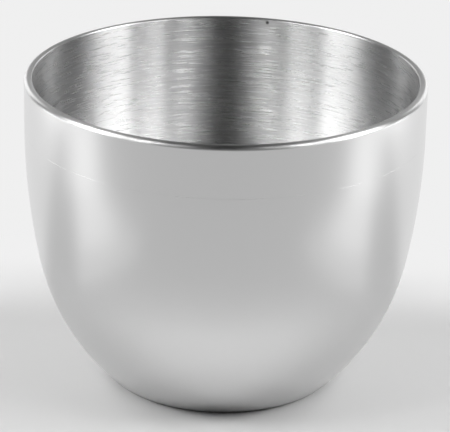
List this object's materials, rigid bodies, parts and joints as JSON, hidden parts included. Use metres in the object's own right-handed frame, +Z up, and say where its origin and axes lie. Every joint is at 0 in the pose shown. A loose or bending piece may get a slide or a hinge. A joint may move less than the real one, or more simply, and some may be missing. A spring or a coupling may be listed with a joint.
{
  "type": "round-bottomed metal tumbler cup",
  "caption": "Round-bottomed metal tumbler cup with plain upright sides, a rounded lip and a flat base, for about a quarter of a litre of drink.",
  "frame": {"origin": "middle of the flat base, on the surface that the cup stands on", "axes": "+Z up along the axis of the cup; X and Y are any two directions square to it, since the cup is round"},
  "size_m": [0.082, 0.082, 0.0646],
  "materials": {
    "metal": "satin pewter outside, fine turned rings inside and a brighter lip"
  },
  "bodies": {
    "root": {"cup": "metal"}
  },
  "joints": []
}
